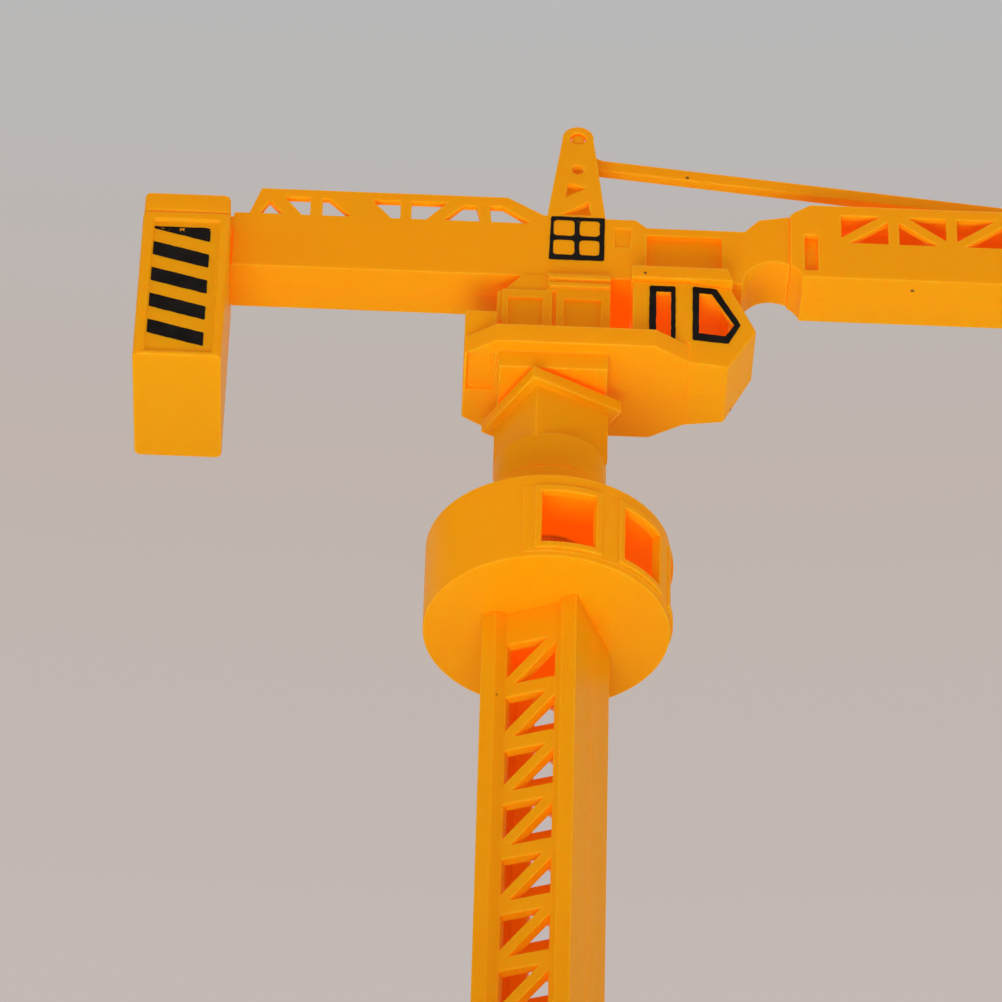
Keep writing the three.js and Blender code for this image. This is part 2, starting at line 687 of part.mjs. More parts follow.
function jibHalf(side) {
  const outer = JIB_HALF_WIDTH;
  const shell = carve(
    halfPrism(jibOutline(0), side, HALF_GAP, outer),
    halfPrism(jibOutline(WALL), side, -1, outer - WALL),
  );
  const rail = halfPrism(railOutline(), side, outer - WALL, outer);
  const head = halfPrism(headOutline(), side, outer - WALL, outer, 10);
  const webs = [-64, -30, 12].map((x) => {
    const [low, high] = halfRange(side, HALF_GAP, outer - 0.5);
    const height = x < 0 ? JIB_TOP : ROOT_TOP;
    return box(x, x + 1.4, low, high, CABIN_FLOOR + JIB_BOTTOM + 0.5, CABIN_FLOOR + height - 0.5);
  });
  const through = [...railOpenings(), ...headOpenings()]
    .map((shape) => halfPrism(shape, side, outer - WALL - 1, outer + CUT, 8));
  const backing = box(18, 36.5, ...halfRange(side, outer - RECESS_DEPTH - WALL, outer - 1),
    CABIN_FLOOR + 90.4, CABIN_FLOOR + 103.6);
  const recesses = [
    box(12.5, 15.9, ...halfRange(side, outer - 0.5, outer + CUT), CABIN_FLOOR + 98.8, CABIN_FLOOR + 104),
    box(19.3, 35.2, ...halfRange(side, outer - RECESS_DEPTH, outer + CUT), CABIN_FLOOR + 91,
      CABIN_FLOOR + 102.4),
  ];
  const endTrim = [
    box(COUNTER_JIB_END - 1, WEIGHT_FRONT + GAP, ...halfRange(side, outer - 0.4, outer + CUT),
      CABIN_FLOOR + 80, CABIN_FLOOR + 130),
    box(COUNTER_JIB_END - 1, WEIGHT_FRONT + GAP, -20, 20, CABIN_FLOOR + WEIGHT_TOP + 3,
      CABIN_FLOOR + 130),
  ];
  const screwHoles = JIB_SCREWS.map(([x, z]) => halfPrism(
    circle(side > 0 ? SCREW_CLEARANCE : SCREW_PILOT, x, CABIN_FLOOR + z), side, -1,
    side > 0 ? outer + CUT : PILOT_DEPTH, 8,
  ));
  const bosses = JIB_SCREWS.map(([x, z]) => {
    const [low, high] = halfRange(side, HALF_GAP, outer - 0.5);
    return prismY(circle(2.5, x, CABIN_FLOOR + z), low, high, 8);
  });
  return carve(join(shell, rail, head, backing, boomTongue(side), ...webs, ...bosses), ...through,
    ...recesses, ...endTrim, ...screwHoles);
}

const JIB_SCREWS = [[-50, 97.5], [-20, 97.5], [17.5, 95.5], [41.5, 101]];

function sideScrews(places, seat) {
  return places.map(([x, z]) => {
    const geometry = screwGeometry(2.2, 1, 0.95, seat - 0.6);
    geometry.rotateX(-Math.PI / 2);
    geometry.translate(x, seat + GAP, CABIN_FLOOR + z);
    return solidFrom(geometry);
  });
}

// ---- boom ----
function boomOutline(inset) {
  const low = CABIN_FLOOR + BOOM_BOTTOM + inset;
  const top = CABIN_FLOOR + BOOM_TOP - inset;
  const rear = BOOM_REAR + (inset > 0 ? -CUT : 0);
  return outline([
    [rear, low],
    [BOOM_TIP - 6 - inset * 0.4, low],
    [BOOM_TIP - inset, low + 6],
    [BOOM_TIP - inset, top - 4],
    [BOOM_TIP - 4 - inset * 0.4, top],
    [BOOM_REAR + 4.4 - inset * 0.4, top],
    [BOOM_REAR + 0.9 - (inset > 0 ? CUT : 0), top - 2.3 - (inset > 0 ? 3.4 : 0)],
    [rear, top - 3.2 - (inset > 0 ? 3.4 : 0)],
  ]);
}

const BOOM_SCREWS = [[102.5, 96.4], [186.2, 101]];

function boomHalf(side) {
  const outer = BOOM_HALF_WIDTH;
  const shell = carve(
    halfPrism(boomOutline(0), side, HALF_GAP, outer),
    halfPrism(boomOutline(WALL), side, -1, outer - WALL),
  );
  const cuts = [];
  for (let bay = 0; bay < BOOM_BAY_COUNT; bay += 1) {
    const left = BOOM_BAY_START + bay * BOOM_BAY;
    const shapes = bayTriangles(left, left + 10, CABIN_FLOOR + BOOM_OPENING_BOTTOM,
      CABIN_FLOOR + BOOM_OPENING_TOP, 2.3, bay % 2 === 0);
    cuts.push(...shapes.map((shape) => halfPrism(shape, side, outer - WALL - 1, outer + CUT)));
  }
  const latch = box(52.7, 55.5, ...halfRange(side, outer - WALL - 0.2, outer + CUT),
    CABIN_FLOOR + 94, CABIN_FLOOR + 103.9);
  const arch = prismY(archCircle(0), -outer - 1, outer + 1, 16);
  const archWall = halfPrism(boomOutline(0), side, HALF_GAP, outer)
    .intersect(prismY(archCircle(WALL), -outer - 1, outer + 1, 16));
  const slot = box(SLOT_START, SLOT_END, -SLOT_HALF_WIDTH, SLOT_HALF_WIDTH,
    CABIN_FLOOR + BOOM_BOTTOM - CUT, CABIN_FLOOR + BOOM_BOTTOM + WALL + 1);
  const stop = join(
    box(SLOT_START - 1.6, SLOT_START, ...halfRange(side, HALF_GAP, outer - 0.5),
      CABIN_FLOOR + BOOM_BOTTOM + 1, CABIN_FLOOR + BOOM_BOTTOM + 7),
    box(SLOT_END, SLOT_END + 1.6, ...halfRange(side, HALF_GAP, outer - 0.5),
      CABIN_FLOOR + BOOM_BOTTOM + 1, CABIN_FLOOR + BOOM_BOTTOM + 7),
  );
  const bosses = BOOM_SCREWS.map(([x, z]) => {
    const [low, high] = halfRange(side, HALF_GAP, outer - 0.5);
    return prismY(circle(2.4, x, CABIN_FLOOR + z), low, high, 8);
  });
  const holes = BOOM_SCREWS.map(([x, z]) => halfPrism(
    circle(side > 0 ? SCREW_CLEARANCE : SCREW_PILOT, x, CABIN_FLOOR + z), side, -1,
    side > 0 ? outer + CUT : PILOT_DEPTH, 8,
  ));
  let body = carve(join(shell, stop, archWall, ...bosses), ...cuts, latch, arch, slot, ...holes);
  const lugLow = side < 0 ? -3 : 1.7;
  const lug = prismY(lugOutline(), lugLow, lugLow + 1.3, 8);
  body = join(body, lug);
  return carve(body, prismY(circle(HEAD_PIN_RADIUS, TIE_LUG, CABIN_FLOOR + TIE_LUG_HEIGHT), -5, 5, 8));
}

function lugOutline() {
  const low = CABIN_FLOOR + BOOM_TOP - 0.8;
  const shape = new THREE.Shape();
  shape.moveTo(TIE_LUG - 4, low);
  shape.lineTo(TIE_LUG + 4, low);
  shape.absarc(TIE_LUG, CABIN_FLOOR + TIE_LUG_HEIGHT, 2.9, 0, Math.PI, false);
  return shape;
}

// ---- tie bar and its two pins ----
function tieBar() {
  const start = new THREE.Vector2(HEAD_CENTRE, CABIN_FLOOR + HEAD_EYE_HEIGHT);
  const knee = new THREE.Vector2(9.5, CABIN_FLOOR + 126.9);
  const finish = new THREE.Vector2(TIE_LUG, CABIN_FLOOR + TIE_LUG_HEIGHT);
  const halfHeight = 1.45;
  const halfWidth = 1.25;
  const strip = (a, b) => {
    const along = b.clone().sub(a).normalize();
    const across = new THREE.Vector2(-along.y, along.x).multiplyScalar(halfHeight);
    return outline([
      [a.x - across.x, a.y - across.y], [b.x - across.x, b.y - across.y],
      [b.x + across.x, b.y + across.y], [a.x + across.x, a.y + across.y],
    ]);
  };
  const body = join(
    prismY(strip(start, knee), -halfWidth, halfWidth),
    prismY(strip(knee, finish), -halfWidth, halfWidth),
    prismY(circle(halfHeight, knee.x, knee.y), -halfWidth, halfWidth, 8),
    prismY(circle(2.9, start.x, start.y), -halfWidth, halfWidth, 12),
    prismY(circle(2.7, finish.x, finish.y), -halfWidth, halfWidth, 12),
  );
  const pinHole = HEAD_PIN_RADIUS + 0.2;
  return carve(body,
    prismY(circle(pinHole, start.x, start.y), -5, 5, 8),
    prismY(circle(pinHole, finish.x, finish.y), -5, 5, 8));
}

function tiePin(x, z, halfLength, radius) {
  return prismY(circle(radius, x, CABIN_FLOOR + z), -halfLength, halfLength, 8);
}

// ---- counterweight ----
function weightPlan(inset) {
  const left = WEIGHT_REAR + inset + WEIGHT_CORNER;
  const right = WEIGHT_FRONT - inset - WEIGHT_CORNER;
  const depth = WEIGHT_HALF_DEPTH - inset - WEIGHT_CORNER;
  const shape = new THREE.Shape();
  shape.absarc(right, depth, WEIGHT_CORNER, 0, Math.PI / 2, false);
  shape.absarc(left, depth, WEIGHT_CORNER, Math.PI / 2, Math.PI, false);
  shape.absarc(left, -depth, WEIGHT_CORNER, Math.PI, Math.PI * 1.5, false);
  shape.absarc(right, -depth, WEIGHT_CORNER, Math.PI * 1.5, Math.PI * 2, false);
  return shape;
}

function weightShell() {
  const low = CABIN_FLOOR + WEIGHT_BOTTOM;
  const top = CABIN_FLOOR + WEIGHT_LID - GAP;
  const deep = WEIGHT_HALF_DEPTH;
  const body = carve(
    prismZ(weightPlan(0), low, top, 6),
    box(WEIGHT_REAR + WALL, WEIGHT_FRONT - WALL, -deep + 2.4, deep - 2.4, low + WALL, top + CUT),
  );
  const notch = box(WEIGHT_FRONT - 3, WEIGHT_FRONT + CUT, -JIB_HALF_WIDTH - GAP, JIB_HALF_WIDTH + GAP,
    CABIN_FLOOR + JIB_BOTTOM - GAP, top + CUT);
  const panels = [-1, 1].map((side) => box(WEIGHT_REAR + 2.4, WEIGHT_FRONT - 2,
    ...halfRange(side, deep - 0.8, deep + CUT), low + 1.2, CABIN_FLOOR + 93.2));
  return carve(body, notch, ...panels);
}

function weightLid() {
  const low = CABIN_FLOOR + WEIGHT_LID;
  const top = CABIN_FLOOR + WEIGHT_TOP;
  const deep = WEIGHT_HALF_DEPTH;
  const slab = prismZ(weightPlan(0.15), low, top, 6);
  const jibPocket = box(COUNTER_JIB_END - GAP - 1, WEIGHT_FRONT + CUT, -JIB_HALF_WIDTH - GAP,
    JIB_HALF_WIDTH + GAP, low - CUT, top + CUT);
  const hollow = join(
    box(WEIGHT_REAR + 2.2, WEIGHT_FRONT - 2.2, -deep + 2.4, -JIB_HALF_WIDTH - 2, low - CUT, top - WALL),
    box(WEIGHT_REAR + 2.2, WEIGHT_FRONT - 2.2, JIB_HALF_WIDTH + 2, deep - 2.4, low - CUT, top - WALL),
  );
  return carve(slab, jibPocket, hollow);
}

// ---- trolley and hook ----
function trolleySlider() {
  const low = CABIN_FLOOR + BOOM_BOTTOM;
  const plate = box(TROLLEY_X - 8, TROLLEY_X + 8, -4.8, 4.8, low + WALL + GAP, low + WALL + GAP + 2);
  const stem = box(TROLLEY_X - 4, TROLLEY_X + 4, -1.6, 1.6, low - 2, low + WALL + 1);
  return join(plate, stem);
}

function trolleyBlock() {
  const top = CABIN_FLOOR + BOOM_BOTTOM - GAP;
  const block = box(TROLLEY_X - 7, TROLLEY_X + 7, -4.6, 4.6, top - 4, top);
  const socket = box(TROLLEY_X - 4 - GAP, TROLLEY_X + 4 + GAP, -1.6 - GAP, 1.6 + GAP, top - 2.2, top + CUT);
  const ears = [-1, 1].map((side) => prismY(outline([
    [TROLLEY_X - 4, top - 3], [TROLLEY_X - 2.6, top - 9.6], [TROLLEY_X + 2.6, top - 9.6],
    [TROLLEY_X + 4, top - 3],
  ]), ...halfRange(side, 2, 3.6)));
  const pinHole = prismY(circle(1.2, TROLLEY_X, hookPivot()), -CUT, CUT, 8);
  return carve(join(carve(block, socket), ...ears), pinHole);
}

function hookPivot() {
  return CABIN_FLOOR + BOOM_BOTTOM - GAP - 7;
}

function hook() {
  const pivot = hookPivot();
  const radius = 5.9;
  const throat = 3.3;
  const thickness = 1.3;
  const centre = pivot - 15.2;
  const tipAngle = -Math.PI * 0.86;
  const bend = new THREE.Shape();
  bend.absarc(TROLLEY_X, centre, radius, Math.PI * 0.5, tipAngle, true);
  bend.lineTo(TROLLEY_X + throat * Math.cos(tipAngle), centre + throat * Math.sin(tipAngle));
  bend.absarc(TROLLEY_X, centre, throat, tipAngle, Math.PI * 0.5, false);
  const shank = outline([
    [TROLLEY_X - 1.4, centre + throat + 0.5], [TROLLEY_X + 1.4, centre + throat + 0.5],
    [TROLLEY_X + 1.6, pivot], [TROLLEY_X - 1.6, pivot],
  ]);
  const body = join(
    prismY(bend, -thickness, thickness, 20),
    prismY(shank, -thickness, thickness),
    prismY(circle(2.3, TROLLEY_X, pivot), -thickness, thickness, 12),
  );
  return carve(body, prismY(circle(1.3, TROLLEY_X, pivot), -CUT, CUT, 8));
}

// ---- assembly ----
const crane = new THREE.Group();

const tower = new THREE.Group();
tower.rotation.z = MAST_TURN;
crane.add(tower);
addPart(tower, 'base_plate', basePlate());
addSeries(tower, 'base_screw', footScrews(), 'steel');
addPart(tower, 'mast_front_half', mastHalf());
const mastRear = new THREE.Group();
mastRear.rotation.z = Math.PI;
tower.add(mastRear);
addPart(mastRear, 'mast_rear_half', mastHalf());
addPart(tower, 'cabin_shell', cabinShell());
addPart(tower, 'cabin_roof', cabinRoof());
addSeries(tower, 'cabin_roof_screw', roofScrews(), 'steel');

const turret = new THREE.Group();
turret.rotation.z = TURRET_TURN;
crane.add(turret);
addPart(turret, 'turret_column', turretColumn());
addPart(turret, 'turret_washer', washer(SPINDLE_END - GAP - 1, 1, 7.6), 'steel');
addPart(turret, 'turret_screw', swivelScrew(SPINDLE_END - 1 - 2 * GAP, true), 'steel');
addPart(turret, 'slew_washer', washer(STUB_END + GAP, 1, 8.8), 'steel');
addPart(turret, 'slew_screw', swivelScrew(STUB_END + 1 + 2 * GAP, false), 'steel');

addPart(crane, 'platform_front_half', platformHalf(-1));
addPart(crane, 'platform_rear_half', platformHalf(1));
addPart(crane, 'engine_housing', housing());
addPart(crane, 'cab_front_half', cabHalf(-1));
addPart(crane, 'cab_rear_half', cabHalf(1));
addPart(crane, 'cab_roof', cabRoof());
addPart(crane, 'jib_front_half', jibHalf(-1));
addPart(crane, 'jib_rear_half', jibHalf(1));
addSeries(crane, 'jib_screw', sideScrews(JIB_SCREWS, JIB_HALF_WIDTH), 'steel');
addPart(crane, 'boom_front_half', boomHalf(-1));
addPart(crane, 'boom_rear_half', boomHalf(1));
addSeries(crane, 'boom_screw', sideScrews(BOOM_SCREWS, BOOM_HALF_WIDTH), 'steel');
addPart(crane, 'tie_bar', tieBar());
addPart(crane, 'tie_pin_head', tiePin(HEAD_CENTRE, HEAD_EYE_HEIGHT, 6.2, HEAD_PIN_RADIUS - 0.1));
addPart(crane, 'tie_pin_boom', tiePin(TIE_LUG, TIE_LUG_HEIGHT, 3.6, HEAD_PIN_RADIUS - GAP), 'steel');
addPart(crane, 'counterweight_shell', weightShell());
addPart(crane, 'counterweight_lid', weightLid());
addPart(crane, 'trolley_slider', trolleySlider());
addPart(crane, 'trolley_block', trolleyBlock());
addPart(crane, 'hook_pin', prismY(circle(0.9, TROLLEY_X, hookPivot()), -4.4, 4.4, 8), 'steel');
addPart(crane, 'hook', hook());

export default crane;
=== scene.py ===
"""Toy tower crane in hollow moulded plastic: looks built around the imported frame."""
import json
import math
import random

import bmesh
import bpy
from mathutils import Matrix, Vector
from mathutils.geometry import area_tri, delaunay_2d_cdt


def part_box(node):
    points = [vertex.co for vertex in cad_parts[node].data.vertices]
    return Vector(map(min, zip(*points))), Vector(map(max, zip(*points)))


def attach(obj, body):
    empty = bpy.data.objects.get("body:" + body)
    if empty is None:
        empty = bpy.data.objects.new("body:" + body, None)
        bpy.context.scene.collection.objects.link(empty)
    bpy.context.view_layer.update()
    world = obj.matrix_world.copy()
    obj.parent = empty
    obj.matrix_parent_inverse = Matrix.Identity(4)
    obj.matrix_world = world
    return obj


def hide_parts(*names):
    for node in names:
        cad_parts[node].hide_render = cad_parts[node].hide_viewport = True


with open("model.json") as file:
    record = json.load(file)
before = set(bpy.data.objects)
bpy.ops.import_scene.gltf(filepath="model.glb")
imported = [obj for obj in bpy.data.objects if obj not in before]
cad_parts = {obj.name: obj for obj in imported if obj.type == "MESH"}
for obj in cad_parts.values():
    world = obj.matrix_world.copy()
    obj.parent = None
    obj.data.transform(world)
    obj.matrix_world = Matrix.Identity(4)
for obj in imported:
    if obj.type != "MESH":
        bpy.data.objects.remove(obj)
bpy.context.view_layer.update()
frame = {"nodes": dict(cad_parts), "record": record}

MM = 0.001
FLOOR_OF_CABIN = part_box("cabin_shell")[0].z
SEED = 7


def at(x, y, z):
    """A point in metres, from millimetres with heights counted from the cabin's floor."""
    return Vector((x * MM, y * MM, FLOOR_OF_CABIN + z * MM))


# ---- shader helpers: noise scales are in cells per metre, and bump heights in metres ----
RANGE_SOCKETS = ("From Min", "From Max", "To Min", "To Max")


def node(tree, kind, **settings):
    made = tree.nodes.new(kind)
    for name, value in settings.items():
        setattr(made, name, value)
    return made


def noise(tree, coordinates, scale, detail=3.0, roughness=0.55):
    made = node(tree, "ShaderNodeTexNoise")
    made.inputs["Scale"].default_value = scale
    made.inputs["Detail"].default_value = detail
    made.inputs["Roughness"].default_value = roughness
    tree.links.new(coordinates, made.inputs["Vector"])
    return made.outputs["Fac"]


def remap(tree, value, low, high, to_low, to_high):
    made = node(tree, "ShaderNodeMapRange")
    for name, number in zip(RANGE_SOCKETS, (low, high, to_low, to_high)):
        made.inputs[name].default_value = number
    tree.links.new(value, made.inputs["Value"])
    return made.outputs["Result"]


def multiplied(tree, first, second):
    made = node(tree, "ShaderNodeMath", operation="MULTIPLY")
    tree.links.new(first, made.inputs[0])
    tree.links.new(second, made.inputs[1])
    return made.outputs["Value"]


def mixed(tree, factor, first, second):
    made = node(tree, "ShaderNodeMix", data_type="RGBA")
    tree.links.new(factor, made.inputs["Factor"])
    for socket, colour in ((made.inputs["A"], first), (made.inputs["B"], second)):
        if isinstance(colour, bpy.types.NodeSocket):
            tree.links.new(colour, socket)
        else:
            socket.default_value = (*colour, 1)
    return made.outputs["Result"]


def bump(tree, height, strength, distance, normal=None):
    made = node(tree, "ShaderNodeBump")
    made.inputs["Strength"].default_value = strength
    made.inputs["Distance"].default_value = distance
    tree.links.new(height, made.inputs["Height"])
    if normal:
        tree.links.new(normal, made.inputs["Normal"])
    return made.outputs["Normal"]


def new_material(name):
    material = bpy.data.materials.new(name)
    material.use_nodes = True
    tree = material.node_tree
    shader = tree.nodes["Principled BSDF"]
    coordinates = node(tree, "ShaderNodeTexCoord").outputs["Object"]
    return material, tree, shader, coordinates


SPECK_SCALE = 105
SPECK_SIZE = 0.055  # as a share of a cell
SPECK_CORE = 0.6  # the fully dark middle, as a share of the speck
EMPTY_CELLS = (0.86, 0.88)  # share of the cells without a speck, with a soft threshold


def specks(tree, coordinates):
    """Sparse round spots: 1 inside a spot, 0 elsewhere. Only a few cells hold one."""
    cells = node(tree, "ShaderNodeTexVoronoi")
    cells.inputs["Scale"].default_value = SPECK_SCALE
    tree.links.new(coordinates, cells.inputs["Vector"])
    core = SPECK_SIZE * SPECK_CORE
    inside = remap(tree, cells.outputs["Distance"], SPECK_SIZE, core, 0, 1)
    chosen = node(tree, "ShaderNodeSeparateColor")
    tree.links.new(cells.outputs["Color"], chosen.inputs["Color"])
    rare = remap(tree, chosen.outputs["Red"], *EMPTY_CELLS, 0, 1)
    return multiplied(tree, inside, rare)


# ---- materials ----
PLASTIC = (0.90, 0.350, 0.003)
PLASTIC_PALE = (0.905, 0.356, 0.0035)
PLASTIC_DEEP = (0.885, 0.335, 0.0025)
# Painted light: enclosed places get a redder orange and an emission glow, standing in for light
# scattered inside the hollow plastic.
PLASTIC_PAINTED_GLOW = (0.94, 0.24, 0.0015)
GLOW = (1.0, 0.22, 0.0)
GLOW_STRENGTH = 0.24
# Lighter, yellower edge colour: scuffs, and a painted highlight along the outer edges.
SCUFF_AND_SHEEN = (0.97, 0.45, 0.03)
DIRT = (0.22, 0.10, 0.02)
INK = (0.004, 0.003, 0.003)
INK_PALE = (0.009, 0.007, 0.006)
STEEL = (0.50, 0.49, 0.46)
STEEL_PALE = (0.66, 0.65, 0.62)

DRIFT_SCALE = 34
FLOW_SCALE = 120
FLOW_STRENGTH = 0.08
WEAR_AND_SHEEN_SCALE = 420
WEAR_AND_SHEEN_RADIUS = 0.0007
WEAR_AND_SHEEN_STRENGTH = 0.6
WEAR_AND_SHEEN_ANGLES = (0.995, 0.93)  # cosine of the turn at an edge, from no wear and painted highlight to full wear and highlight
ENCLOSED = (0.5, 0.1)  # share of open surroundings, from no painted glow to full painted glow
ENCLOSED_REACH = 0.018
GLOW_SAMPLES = 6
PLASTIC_ROUGHNESS = (0.30, 0.46)
PLASTIC_IOR = 1.49
SHINE = 0.04
SCATTER = 0.6
SCATTER_COLOURS = (1.0, 0.22, 0.03)
SCATTER_DEPTH = 0.004


def edge_wear_and_sheen(tree, coordinates):
    """How scuffed and lit by a painted highlight a point is: outer edges are lightened in broken
    patches, and flat faces not at all.
    """
    geometry = node(tree, "ShaderNodeNewGeometry")
    softened = node(tree, "ShaderNodeBevel", samples=4)
    softened.inputs["Radius"].default_value = WEAR_AND_SHEEN_RADIUS
    turned = node(tree, "ShaderNodeVectorMath", operation="DOT_PRODUCT")
    tree.links.new(softened.outputs["Normal"], turned.inputs[0])
    tree.links.new(geometry.outputs["Normal"], turned.inputs[1])
    near_edge = remap(tree, turned.outputs["Value"], *WEAR_AND_SHEEN_ANGLES, 0, WEAR_AND_SHEEN_STRENGTH)
    outer = remap(tree, geometry.outputs["Pointiness"], 0.50, 0.53, 0, 1)
    broken = remap(tree, noise(tree, coordinates, WEAR_AND_SHEEN_SCALE, 2.0), 0.35, 0.6, 0.15, 1)
    return multiplied(tree, multiplied(tree, near_edge, outer), broken)


def plastic(name, shade=0.0, reach=ENCLOSED_REACH):
    """Glossy moulded plastic: drifting colour, flow marks, fine texture, scuffed edges with a
    painted highlight, dirt, and a painted red-orange glow in enclosed places.
    """
    material, tree, shader, coordinates = new_material(name)
    drift = remap(tree, noise(tree, coordinates, DRIFT_SCALE, 2.0), 0.3, 0.7, 0, 1)
    colour = mixed(tree, drift, tuple(c * (1 + shade) for c in PLASTIC), PLASTIC_PALE)
    flow = remap(tree, noise(tree, coordinates, FLOW_SCALE, 3.0), 0.4, 0.8, 0, FLOW_STRENGTH)
    colour = mixed(tree, flow, colour, PLASTIC_DEEP)
    # Outer edges turn lighter: scuffs and a painted highlight.
    colour = mixed(tree, edge_wear_and_sheen(tree, coordinates), colour, SCUFF_AND_SHEEN)
    colour = mixed(tree, specks(tree, coordinates), colour, DIRT)
    # Painted glow: where ambient occlusion finds the surroundings enclosed, the colour turns a
    # redder orange and the surface emits light.
    enclosed = node(tree, "ShaderNodeAmbientOcclusion", samples=GLOW_SAMPLES)
    enclosed.inputs["Distance"].default_value = reach
    depth = remap(tree, enclosed.outputs["AO"], *ENCLOSED, 0, 1)
    colour = mixed(tree, depth, colour, PLASTIC_PAINTED_GLOW)
    tree.links.new(colour, shader.inputs["Base Color"])
    shader.inputs["Emission Color"].default_value = (*GLOW, 1)
    glow = remap(tree, depth, 0, 1, 0, GLOW_STRENGTH)
    tree.links.new(glow, shader.inputs["Emission Strength"])
    gloss = remap(tree, noise(tree, coordinates, 260, 3.0), 0.3, 0.7, *PLASTIC_ROUGHNESS)
    tree.links.new(gloss, shader.inputs["Roughness"])
    broad = bump(tree, noise(tree, coordinates, 75, 2.0), 0.04, 0.0004)
    fine = bump(tree, noise(tree, coordinates, 1500, 2.0), 0.10, 0.00008, broad)
    tree.links.new(fine, shader.inputs["Normal"])
    shader.inputs["IOR"].default_value = PLASTIC_IOR
    shader.inputs["Specular IOR Level"].default_value = SHINE
    shader.inputs["Subsurface Weight"].default_value = SCATTER
    shader.inputs["Subsurface Radius"].default_value = SCATTER_COLOURS
    shader.inputs["Subsurface Scale"].default_value = SCATTER_DEPTH
    return material


def printed_black(name, wear):
    """Pad-printed ink that has rubbed off in places, showing the plastic under it."""
    material, tree, shader, coordinates = new_material(name)
    tone = remap(tree, noise(tree, coordinates, 300, 2.0), 0.35, 0.65, 0, 1)
    ink = mixed(tree, tone, INK, INK_PALE)
    blotches = noise(tree, coordinates, 620, 5.0, 0.7)
    rubbed = remap(tree, blotches, 0.72 - wear, 0.76 - wear, 0, 1)
    tree.links.new(mixed(tree, rubbed, ink, PLASTIC), shader.inputs["Base Color"])
    gloss = remap(tree, noise(tree, coordinates, 500, 2.0), 0.3, 0.7, 0.3, 0.5)
    tree.links.new(gloss, shader.inputs["Roughness"])
    shader.inputs["Specular IOR Level"].default_value = 0.08
    grain = bump(tree, noise(tree, coordinates, 2200, 2.0), 0.15, 0.00005)
    tree.links.new(grain, shader.inputs["Normal"])
    return material


def plated_steel(name):
    material, tree, shader, coordinates = new_material(name)
    tone = remap(tree, noise(tree, coordinates, 700, 4.0), 0.35, 0.65, 0, 1)
    tree.links.new(mixed(tree, tone, STEEL, STEEL_PALE), shader.inputs["Base Color"])
    gloss = remap(tree, noise(tree, coordinates, 900, 3.0), 0.3, 0.7, 0.22, 0.42)
    tree.links.new(gloss, shader.inputs["Roughness"])
    brushed = bump(tree, noise(tree, coordinates, 3000, 2.0), 0.2, 0.00004)
    tree.links.new(brushed, shader.inputs["Normal"])
    shader.inputs["Metallic"].default_value = 1.0
    return material


# ---- moulded pieces: the frame's solids, joined where the mould joins them, edges rounded ----
WELD = 0.02 * MM
SLIVER = 0.05 * MM
FLAT_ANGLE = math.radians(0.5)
SAME_PLANE_ANGLE = math.radians(0.6)
SMOOTH_ANGLE = math.radians(52)
GROOVE = 0.012 * MM  # half the width of the fine line that a mould seam leaves
FACE_REACH = 0.03 * MM  # how near a plane a point counts as lying in it
LAST_WELD = 0.0005 * MM
BEVEL_STEPS = 2
NORMAL_WEIGHT = 90
UP = (0, 0, 1)
ALONG = (1, 0, 0)
MAST_TURN = math.radians(-21.7)
ACROSS_MAST = (-math.sin(MAST_TURN), math.cos(MAST_TURN), 0)
SEAM_HALF_GAP = 0.15
PARTING = ((0, 1, 0), 0, SEAM_HALF_GAP)


def solid_of(names):
    """One editable mesh of several CAD nodes, welded, each flat region merged into one face."""
    mesh = bmesh.new()
    for name in names:
        mesh.from_mesh(frame["nodes"][name].data)
    bmesh.ops.remove_doubles(mesh, verts=mesh.verts, dist=WELD)
    bmesh.ops.dissolve_degenerate(mesh, edges=mesh.edges, dist=SLIVER)
    bmesh.ops.dissolve_limit(mesh, angle_limit=FLAT_ANGLE, verts=mesh.verts, edges=mesh.edges)
    return mesh


def close_seam(mesh, normal, offset, half_gap):
    """Moves the two sides of a mould seam together, and returns the edges that lie on it."""
    normal = Vector(normal)
    offset *= MM
    reach = half_gap * MM + WELD
    on_seam = set()
    for vert in mesh.verts:
        away = vert.co.dot(normal) - offset
        if abs(away) <= reach:
            vert.co -= normal * (away - math.copysign(GROOVE, away))
            on_seam.add(vert)
    return {edge for edge in mesh.edges if edge.verts[0] in on_seam and edge.verts[1] in on_seam}


def triangles_inside(points, pairs):
    """Fills closed outlines with holes.

    Returns the points, the triangles, each point's source, and the points added on each edge."""
    found = delaunay_2d_cdt(points, pairs, [], 0, 1e-6)
    places, edges, triangles, sources, edge_sources = found[:5]
    walls = {frozenset(edge) for edge, source in zip(edges, edge_sources) if source}
    neighbours = {}
    for index, corners in enumerate(triangles):
        for i in range(3):
            neighbours.setdefault(frozenset((corners[i - 1], corners[i])), []).append(index)
    left = set(range(len(triangles)))
    inside = []
    while left:
        first = left.pop()
        group, reached = [first], [first]
        while reached:
            corners = triangles[reached.pop()]
            for i in range(3):
                border = frozenset((corners[i - 1], corners[i]))
                for other in neighbours[border] if border not in walls else ():
                    if other in left:
                        left.discard(other)
                        group.append(other)
                        reached.append(other)
        widest = max(group, key=lambda index: area_tri(*(places[i] for i in triangles[index])))
        middle = sum((places[i] for i in triangles[widest]), Vector((0, 0))) / 3
        if inside_outlines(middle, [(points[a], points[b]) for a, b in pairs]):
            inside += [triangles[index] for index in group]
    added = {}
    for edge, source in zip(edges, edge_sources):
        for index in edge:
            if not sources[index]:
                for outline_edge in source:
                    added.setdefault(outline_edge, set()).add(index)
    return places, inside, sources, added


END_MARGIN = 0.01  # nearest that a split comes to an edge's end, as a share of the edge


